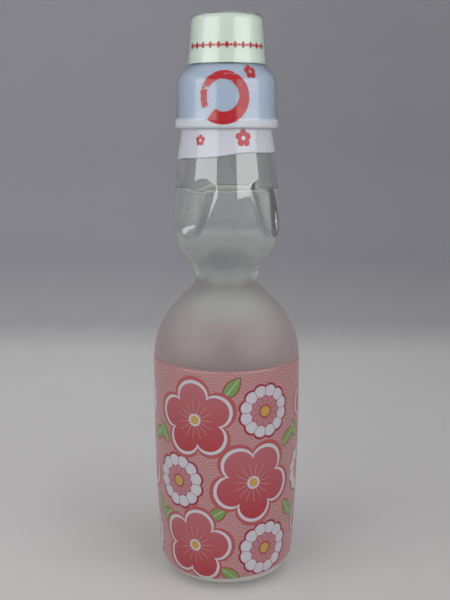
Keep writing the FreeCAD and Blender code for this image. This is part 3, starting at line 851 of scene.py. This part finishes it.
def make_marble(colours):
    """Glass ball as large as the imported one."""
    finish = Finish("marble_glass_ball", base_color=colours.marble, roughness=0.02,
                    transmission_weight=1.0, ior=1.5)
    finish.bump(finish.noise(scale=260, detail=1), distance=0.00002)
    finish.let_light_through(clearness=0.9)
    middle = (MARBLE_LOW.z + MARBLE_HIGH.z) / 2
    ball = (MARBLE_HIGH.z - MARBLE_LOW.z) / 2
    turns = np.linspace(-math.pi / 2, math.pi / 2, num=72)
    outline = np.column_stack([ball * np.cos(turns), middle + ball * np.sin(turns)])
    outline[[0, -1], 0] = 0
    piece = turned_piece("glass_marble", outline, finish.material)
    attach(piece, "marble")
    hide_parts("marble")


def moulded_plastic(name, base, roughness):
    """Injection-moulded plastic with a faint mottle and a soft gloss."""
    finish = Finish(name, roughness=roughness, ior=1.49)
    mottle = finish.noise(scale=420, detail=3)
    paleness = 0.08
    finish.give("Base Color", finish.painted(base, mottle * paleness, (1, 1, 1)))
    finish.bump(finish.noise(scale=2600), distance=0.000006)
    return finish.material


def soft_rubber(name, base):
    """Dull rubber with a fine dark mottle."""
    finish = Finish(name, roughness=0.7)
    mottle = finish.noise(scale=1500)
    darkness = 0.2
    finish.give("Base Color", finish.painted(base, mottle * darkness, (0, 0, 0)))
    finish.bump(finish.noise(scale=4000), distance=0.00001)
    return finish.material


def finish_closure(colours):
    """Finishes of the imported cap, opener, plunger and seal."""
    opener = moulded_plastic("opener_mint_plastic", colours.opener, roughness=0.42)
    finishes = {
        "mouth_cap": moulded_plastic("cap_blue_plastic", colours.cap, roughness=0.5),
        "opener_ring": opener,
        "plunger": opener,
        "seal_ring": soft_rubber("seal_rubber_soft", colours.rubber),
    }
    for node, material in finishes.items():
        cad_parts[node].material_slots[0].material = material


def blossom(across, up, petals, radius, dip, turn=0.0):
    """Depth inside the rim of a flower, and its distance and angle from the heart."""
    petal_roundness = 0.65
    distance = reach(across, up)
    bearing = up.math("ARCTAN2", across)
    wave = ((bearing + turn) * (petals / 2)).sine().size().power(petal_roundness)
    return wave * (dip * radius) + (1 - dip) * radius - distance, distance, bearing


def brush_ring(finish, f, cap_aside):
    """Mask of a ring drawn with one stroke of a wide, drying brush."""
    across = cap_aside - f.ring_aside
    up = finish.z - f.ring_height
    # The stroke starts full at the lower left, thins out, dries in its second half and stays open
    start_angle = 2.2
    full_width = 0.005
    thinning = 0.003
    dry_from = 0.45
    drying_rate = 1.5
    open_from = 0.93
    # The rim is ragged from the start, and streaks of the brush stay bare, more so as it dries
    raggedness = 0.0012
    ragged_at_start = 0.35
    bare_at_start = 0.33
    bare_growth = 0.18
    along = (up.math("ARCTAN2", across) + start_angle).wrapped(0, math.tau) / math.tau
    width = along.math("MULTIPLY_ADD", -thinning, full_width)
    streak = finish.noise(scale=900, stretch=(0.35, 0.35, 1), detail=3, roughness=0.7)
    dryness = (along - dry_from).more(0) * drying_rate
    ragged = (streak - 0.5) * raggedness * (dryness + ragged_at_start)
    stroke = (width / 2 - (reach(across, up) - f.ring_radius).size() + ragged).inside(INK_EDGE)
    inked = (streak - bare_at_start - dryness * bare_growth).inside(softness=0.08)
    return stroke * along.below(open_from, softness=0.02) * inked


def lozenge_row(finish, f, turn):
    """Mask of a row of lozenges with a dot between each two."""
    half_height = 0.0013
    half_width = 0.001
    dot_radius = 0.00042
    aside = turn * OPENER_PRINT_RADIUS
    up = finish.z - f.row_height
    half_pitch = f.row_pitch / 2
    cell = aside.wrapped(-half_pitch, half_pitch).size()
    # A lozenge is measured in shares of its size, so its edge is too
    lozenges = (up.size() / half_height + cell / half_width).below(1, INK_EDGE / half_width)
    between = (aside + half_pitch).wrapped(-half_pitch, half_pitch)
    dots = reach(between, up).below(dot_radius, INK_EDGE)
    return lozenges.more(dots) * turn.size().below(f.row_reach, softness=0.01)


def film_print(finish, f):
    """Mask of the red print: a brush ring on the cap, loose blossoms and a row of lozenges."""
    turn = finish.turn_angle()
    cap_aside = turn * CAP_PRINT_RADIUS
    mask = brush_ring(finish, f, cap_aside)
    for aside, height, radius in FILM_BLOSSOMS:
        rim, distance, _ = blossom(cap_aside - aside, finish.z - height, petals=5, radius=radius,
                                   dip=0.34, turn=0.3)
        heart = radius * 0.24
        mask = mask.more(rim.inside(INK_EDGE) * distance.above(heart, INK_EDGE))
    return mask.more(lozenge_row(finish, f, turn))


def make_film(g, f, colours):
    """Clear shrink film with red print and a white skirt."""
    finish = Finish("shrink_film_printed", roughness=0.14, ior=1.46)
    red = film_print(finish, f)
    # A painted highlight whitens the cap's flange thinly, and the white print is full on the skirt below
    flange_highlight = finish.z.below(CAP_LOW.z + f.flange_highlight_rise, f.flange_highlight_fade) * f.flange_highlight
    skirt = finish.z.below(CAP_LOW.z + f.skirt_fade / 2, f.skirt_fade)
    opaque = red.more(skirt.more(flange_highlight) * f.skirt_cover)
    # Above the skirt the base colour is plain white, which the flange's painted highlight shows
    white = finish.painted((1, 1, 1), skirt, colours.skirt)
    finish.give("Base Color", finish.painted(white, red, colours.brush))
    finish.give("Transmission Weight", opaque.flipped())
    finish.let_light_through(opaque.flipped() * f.clearness)
    finish.bump(finish.noise(scale=220, stretch=(1, 1, 0.35), detail=3), distance=0.00009)
    outer = film_outline(g, f, f.clearance + f.thickness)
    inner = film_outline(g, f, f.clearance)
    piece = turned_piece("printed_film", shell_outline(outer, inner), finish.material)
    shape_film(piece.data, g, f)
    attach(piece, "film")
    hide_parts("cap_film")


def pleats_round(turn):
    """Fine pleats of uneven width and height, from -1 to 1, at each angle round the bottle."""
    drift = 1.3 * np.sin(3 * turn)
    return np.sin(17 * turn + drift) * np.sin(29 * turn + 0.7)


def waves_round(turn, rows):
    """Sum of the waves that the rows give, at each angle round the bottle."""
    return sum(share_of * np.sin(number * turn + phase) for share_of, number, phase in rows)


def shape_film(mesh, g, f):
    """Slant and flare the skirt's cut edge, and raise shrink wrinkles and the uneven top."""
    points = read_points(mesh)
    radius, turn, height = around(points)
    chamber, collar = chamber_outline(g, 0)
    low = collar[1] - f.skirt
    in_skirt = height < collar[1]
    along = np.clip((height - low) / (collar[1] - low), 0, 1)
    # Share of flare and wrinkles that is the same all round
    steady = 0.6
    # The cut edge lies a little inside the chamber's widest ring
    cut_radius = g.chamber_radius * 0.92
    cut = low + np.sin(turn) * cut_radius * math.tan(f.tilt)
    cut += f.top_wave * waves_round(turn, CUT_WAVES)
    slanted = cut + along * (collar[1] - cut)
    stand_off = radius - np.interp(height, chamber[:, 1], chamber[:, 0])
    skirt_radius = np.interp(slanted, chamber[:, 1], chamber[:, 0]) + stand_off
    skirt_radius += f.flare * (1 - along) ** 3 * (steady + waves_round(turn, FLARE_WAVES))
    radius = np.where(in_skirt, skirt_radius, radius)
    height = np.where(in_skirt, slanted, height)
    # Fine upright pleats are strongest where the film shrinks in above the dome and at the top
    web_height = OPENER_LOW.z + f.web_lift
    near_web = np.exp(-((height - web_height) / f.web_reach) ** 2)
    near_top = np.exp(-((height - OPENER_HIGH.z) / f.top_reach) ** 2)
    pleats = steady + (1 - steady) * pleats_round(turn)
    radius = radius + f.wrinkle * (near_web + near_top) * pleats
    top = np.clip((height - OPENER_HIGH.z) / f.top_depth + 1, 0, 1)
    height = height + f.top_wave * top * (0.5 + waves_round(turn, TOP_WAVES))
    write_points(mesh, from_around(radius, turn, height))


def waves(aside, up, width):
    """Mask of the traditional pattern of overlapping round waves."""
    row_step = width / 4
    ring_step = width / 8
    line_half = ring_step * 0.2
    mask = None
    for layer in range(3):
        # Waves of one of the rows that reach a place, each row half a wave aside from the next
        row = (up / row_step).math("FLOOR") - layer
        shift = row.math("MODULO", 2).size() * (width / 2)
        cell = (aside + shift).wrapped(-width / 2, width / 2)
        distance = reach(cell, up - row * row_step)
        cover = distance.below(width / 2, INK_EDGE)
        line_place = distance.wrapped(-ring_step / 2, ring_step / 2).size()
        rings = line_place.below(line_half, INK_EDGE)
        mask = rings * cover if mask is None else mask * cover.flipped() + rings * cover
    return mask


def leaf(finish, paint, across, up, lean, colours):
    """Green leaf with a crimson outline and a pale vein."""
    half_width = 0.0024
    # How fast the blade narrows to its ends, per metre
    narrowing = 90
    line = 0.0005
    vein_half = 0.0002
    vein_cover = 0.7
    along = across * math.cos(lean) + up * math.sin(lean)
    beside = (up * math.cos(lean) - across * math.sin(lean)).size()
    blade = (along * along) * -narrowing + half_width - beside
    paint = finish.painted(paint, (blade + line).inside(INK_EDGE), colours.outline)
    paint = finish.painted(paint, blade.inside(INK_EDGE), colours.leaf)
    vein = beside.below(vein_half, INK_EDGE) * blade.above(2 * vein_half, INK_EDGE)
    return finish.painted(paint, vein * vein_cover, colours.petal)


def round_flower(finish, paint, across, up, radius, colours):
    """Full round white flower with two rings of narrow petals."""
    petals = 12
    half_petal = math.pi / petals
    inner_radius = radius * 0.58
    heart = radius * 0.2
    heart_line = radius * 0.05
    line = radius * 0.09
    inner_line = radius * 0.035
    seam_half = 0.0007
    inner_seam_half = 0.0005
    glow_paleness = 0.3
    rim, distance, bearing = blossom(across, up, petals, radius, dip=0.12)
    paint = finish.painted(paint, (rim + line).inside(INK_EDGE), colours.outline)
    paint = finish.painted(paint, rim.inside(INK_EDGE), colours.petal)
    seam = (bearing * (petals / 2)).sine().size() * distance
    seams = seam.below(seam_half, SEAM_EDGE) * distance.above(inner_radius, INK_EDGE)
    paint = finish.painted(paint, seams * rim.inside(INK_EDGE), colours.rose)
    inner_rim, _, _ = blossom(across, up, petals, inner_radius, dip=0.16, turn=half_petal)
    paint = finish.painted(paint, (inner_rim + inner_line).inside(INK_EDGE), colours.outline)
    glow = finish.painted(colours.rose, glow_paleness, colours.petal)
    paint = finish.painted(paint, inner_rim.inside(INK_EDGE), glow)
    inner_seam = ((bearing + half_petal) * (petals / 2)).sine().size() * distance
    inner_seams = inner_seam.below(inner_seam_half, SEAM_EDGE) * distance.above(heart, INK_EDGE)
    paint = finish.painted(paint, inner_seams * inner_rim.inside(INK_EDGE), colours.outline)
    paint = finish.painted(paint, distance.below(heart + heart_line, INK_EDGE), colours.outline)
    return finish.painted(paint, distance.below(heart, INK_EDGE), colours.gold)


def red_blossom(finish, paint, across, up, radius, lean, colours):
    """Five-petalled red blossom with a white line round it, stamens and a yellow heart."""
    petals = 5
    border_width = radius * 0.2
    line = radius * 0.09
    stamen_count = 15
    stamen_length = radius * 0.46
    stamen_half = 0.00035
    tip_place = radius * 0.48
    tip_half = radius * 0.05
    heart = radius * 0.12
    heart_line = radius * 0.05
    border_pinkness = 0.25
    top_paleness = 0.2
    rim, distance, bearing = blossom(across, up, petals, radius, dip=0.36, turn=lean)
    border = finish.painted(colours.rose, border_pinkness, colours.ground)
    paint = finish.painted(paint, (rim + border_width).inside(INK_EDGE), border)
    paint = finish.painted(paint, (rim + line).inside(INK_EDGE), colours.petal)
    # The petals grow paler from the blossom's foot to its top
    paleness = (up / (radius * 2) + 0.5) * top_paleness
    fill = finish.painted(colours.rose, paleness, colours.petal)
    paint = finish.painted(paint, rim.inside(INK_EDGE), fill)
    stamen = ((bearing + lean) * (stamen_count / 2) + math.pi / 2).sine().size() * distance
    stamens = stamen.below(stamen_half, INK_EDGE) * distance.below(stamen_length, INK_EDGE)
    paint = finish.painted(paint, stamens, colours.petal)
    tips = (distance - tip_place).size().below(tip_half, INK_EDGE) * stamen.below(2 * stamen_half, INK_EDGE)
    paint = finish.painted(paint, tips, colours.gold)
    paint = finish.painted(paint, distance.below(heart + heart_line, INK_EDGE), colours.petal)
    return finish.painted(paint, distance.below(heart, INK_EDGE), colours.gold)


def label_paint(finish, s, colours):
    """Colour of the label's print: waves, leaves, white round flowers and red blossoms."""
    turn = finish.turn_angle()
    whole_aside = turn * LABEL_HIGH.x
    half = s.repeat_width / 2
    aside = whole_aside.wrapped(-half, half)
    up = finish.z - LABEL_LOW.z
    pattern = waves(aside, up, s.repeat_width * s.wave_share) * s.wave_cover
    paint = finish.painted(colours.ground, pattern, colours.rose)
    for place, rise, lean in LEAVES:
        paint = leaf(finish, paint, aside - place, up - rise, lean, colours)
    for place, rise, radius in ROUND_FLOWERS:
        paint = round_flower(finish, paint, aside - place, up - rise, radius, colours)
    for place, rise, radius, lean in RED_BLOSSOMS:
        paint = red_blossom(finish, paint, aside - place, up - rise, radius, lean, colours)
    from_panel = (whole_aside - s.panel_place).size()
    panel_half = s.panel_width / 2
    paint = finish.painted(paint, from_panel.below(panel_half + s.panel_line, INK_EDGE), colours.outline)
    paint = finish.painted(paint, from_panel.below(panel_half, INK_EDGE), colours.panel)
    # The print ends a little above the label's lower edge, and higher at the right
    margin = turn.sine() * s.margin_tilt + s.margin - up
    return finish.painted(paint, margin.inside(s.margin_edge), colours.margin)


def make_label(g, s, colours):
    """Printed shrink label that lies on the barrel, with an unprinted inner side."""
    finish = Finish("label_printed_film", roughness=0.3, ior=1.46, coat_weight=0.25, coat_roughness=0.12)
    finish.give("Base Color", label_paint(finish, s, colours))
    finish.bump(finish.noise(scale=160, stretch=(1, 1, 0.3)), distance=0.00005)
    finish.let_light_through(s.clearness)
    backing = Finish("label_backing", roughness=0.5)
    mottle = backing.noise(scale=300)
    pinkness = 0.3
    backing.give("Base Color", backing.painted(colours.backing, mottle * pinkness, colours.ground))
    backing.let_light_through(s.clearness)
    sides = []
    for grow in (s.clearance + s.thickness, -s.overlap):
        barrel, edge = barrel_outline(g, grow)
        side = np.vstack([barrel, edge])
        sides.append(side[side[:, 1] >= LABEL_LOW.z])
    piece = turned_piece("printed_label", shell_outline(*sides), finish.material)
    mesh = piece.data
    mesh.materials.clear()
    for side in (finish, backing):
        mesh.materials.append(side.material)
    for face in mesh.polygons:
        outwards = face.normal.x * face.center.x + face.normal.y * face.center.y
        face.material_index = 0 if outwards > 0 else 1
    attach(piece, "bottle")
    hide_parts("body_label")


# Studio

def make_backdrop(s, colours):
    """Pale floor that sweeps up into a grey backdrop, darkened towards the right by painted shade."""
    finish = Finish("studio_sweep", roughness=0.85)
    rise = finish.y.above(s.floor_back, s.blend_depth)
    ground = finish.painted(colours.floor, rise, colours.backdrop)
    # Painted shade darkens the floor and the backdrop towards the right
    painted_shade = finish.x.above(s.shade_falloff_place, s.shade_falloff_width) * s.falloff
    ground = finish.painted(ground, painted_shade, (0, 0, 0))
    finish.give("Base Color", finish.painted(ground, finish.noise(scale=35) * s.mottle, (0, 0, 0)))
    turns = np.linspace(0, math.pi / 2, num=24)
    bend = np.column_stack([s.floor_back + s.sweep_radius * np.sin(turns),
                            s.sweep_radius * (1 - np.cos(turns))])
    front = [-s.stage_reach, 0]
    top = [s.floor_back + s.sweep_radius, s.stage_reach]
    profile = np.vstack([[front], bend, [top]])
    verts = [(side * s.stage_reach, depth, height) for side in (-1, 1) for depth, height in profile]
    count = len(profile)
    faces = [(i, count + i, count + i + 1, i + 1) for i in range(count - 1)]
    mesh = bpy.data.meshes.new("studio_sweep")
    mesh.from_pydata(verts, [], faces)
    mesh.materials.append(finish.material)
    for face in mesh.polygons:
        face.use_smooth = True
    link(bpy.data.objects.new("studio_sweep", mesh))


def make_window(name, side, s):
    """One wide soft window light in front of the bottle, to the left or right of the camera."""
    lamp = bpy.data.lights.new(name, "AREA")
    lamp.shape = "RECTANGLE"
    lamp.size = s.window_width
    lamp.size_y = s.window_height
    lamp.energy = s.window_power
    light = link(bpy.data.objects.new(name, lamp))
    turn = side * s.window_turn
    light.location = (s.window_distance * math.sin(turn), -s.window_distance * math.cos(turn),
                      s.window_low + s.window_height / 2)
    light.rotation_euler = (math.pi / 2, 0, turn)
    light.visible_camera = False
    light.visible_transmission = False


def make_stage(s, colours):
    """Backdrop, window lights, light from all round and the photograph's camera."""
    scene = bpy.context.scene
    scene.view_settings.view_transform = "Standard"
    make_backdrop(s, colours)
    make_window("window_left", -1, s)
    make_window("window_right", 1, s)
    world = bpy.data.worlds.new("studio")
    world.use_nodes = True
    background = world.node_tree.nodes["Background"]
    background.inputs["Color"].default_value = with_alpha(colours.daylight)
    around_all = add_node(world.node_tree, "ShaderNodeTexCoord").outputs["Generated"]
    parts = add_node(world.node_tree, "ShaderNodeSeparateXYZ", {"Vector": around_all}).outputs
    height = Field(world.node_tree, parts["Z"]).more(0)
    strength = height.power(s.overhead_focus) * (s.overhead - s.ambient) + s.ambient
    feed(world.node_tree, background.inputs["Strength"], strength)
    scene.world = world
    view = bpy.data.cameras.new("photo_view")
    view.lens = s.lens
    camera = link(bpy.data.objects.new("photo_view", view))
    camera.location = (s.camera_aside, -s.camera_distance, s.camera_height)
    camera.rotation_euler = (math.pi / 2 - s.camera_pitch, 0, 0)
    scene.camera = camera


# Add-on

class BottleSettings(bpy.types.PropertyGroup):
    """All settings of the bottle."""
    glass: group("Glass", GlassSizes, "Outline of the glass")
    drink: group("Drink", DrinkSizes, "Fill of the bottle")
    film: group("Film", FilmSizes, "Shrink film of the closure")
    label: group("Label", LabelSizes, "Shrink label of the barrel")
    stage: group("Stage", StageSizes, "Camera, light and backdrop")
    colours: group("Colours", BottleColours, "Colours of all pieces")


class BOTTLE_OT_glass(bpy.types.Operator):
    """Turn the clear glass and press its two dents"""
    bl_idname = "bottle.glass"
    bl_label = "Glass"

    def execute(self, context):
        settings = context.scene.bottle
        make_glass(settings.glass, settings.colours)
        return {"FINISHED"}


class BOTTLE_OT_drink(bpy.types.Operator):
    """Fill the bottle with soda up to its level"""
    bl_idname = "bottle.drink"
    bl_label = "Drink"

    def execute(self, context):
        settings = context.scene.bottle
        make_drink(settings.glass, settings.drink, settings.colours)
        return {"FINISHED"}


class BOTTLE_OT_marble(bpy.types.Operator):
    """Make the glass ball that stops the bottle"""
    bl_idname = "bottle.marble"
    bl_label = "Marble"

    def execute(self, context):
        make_marble(context.scene.bottle.colours)
        return {"FINISHED"}


class BOTTLE_OT_closure(bpy.types.Operator):
    """Give the cap, the opener, the plunger and the seal their finishes"""
    bl_idname = "bottle.closure"
    bl_label = "Closure"

    def execute(self, context):
        finish_closure(context.scene.bottle.colours)
        return {"FINISHED"}


class BOTTLE_OT_film(bpy.types.Operator):
    """Wrap the closure in its printed shrink film"""
    bl_idname = "bottle.film"
    bl_label = "Film"

    def execute(self, context):
        settings = context.scene.bottle
        make_film(settings.glass, settings.film, settings.colours)
        return {"FINISHED"}


class BOTTLE_OT_label(bpy.types.Operator):
    """Wrap the barrel in its printed label"""
    bl_idname = "bottle.label"
    bl_label = "Label"

    def execute(self, context):
        settings = context.scene.bottle
        make_label(settings.glass, settings.label, settings.colours)
        return {"FINISHED"}


class BOTTLE_OT_stage(bpy.types.Operator):
    """Set up the floor, the backdrop, the lights and the camera"""
    bl_idname = "bottle.stage"
    bl_label = "Stage"

    def execute(self, context):
        settings = context.scene.bottle
        make_stage(settings.stage, settings.colours)
        return {"FINISHED"}


OPERATORS = (
    BOTTLE_OT_glass,
    BOTTLE_OT_drink,
    BOTTLE_OT_marble,
    BOTTLE_OT_closure,
    BOTTLE_OT_film,
    BOTTLE_OT_label,
    BOTTLE_OT_stage,
)


class BOTTLE_PT_panel(bpy.types.Panel):
    """Buttons for the pieces of the bottle"""
    bl_idname = "BOTTLE_PT_panel"
    bl_label = "Marble stopper bottle"
    bl_space_type = "VIEW_3D"
    bl_region_type = "UI"
    bl_category = "Bottle"

    def draw(self, context):
        for operator in OPERATORS:
            self.layout.operator(operator.bl_idname)


CLASSES = (
    GlassSizes,
    DrinkSizes,
    FilmSizes,
    LabelSizes,
    BottleColours,
    StageSizes,
    BottleSettings,
    *OPERATORS,
    BOTTLE_PT_panel,
)


def register():
    """Make the classes known to Blender, and the settings a part of the scene."""
    for item in CLASSES:
        bpy.utils.register_class(item)
    bpy.types.Scene.bottle = bpy.props.PointerProperty(type=BottleSettings)


def unregister():
    """Undo register."""
    del bpy.types.Scene.bottle
    for item in reversed(CLASSES):
        bpy.utils.unregister_class(item)


def main():
    """Build every piece and the stage."""
    register()
    bpy.ops.bottle.glass()
    bpy.ops.bottle.drink()
    bpy.ops.bottle.marble()
    bpy.ops.bottle.closure()
    bpy.ops.bottle.film()
    bpy.ops.bottle.label()
    bpy.ops.bottle.stage()


if __name__ == "__main__":
    main()
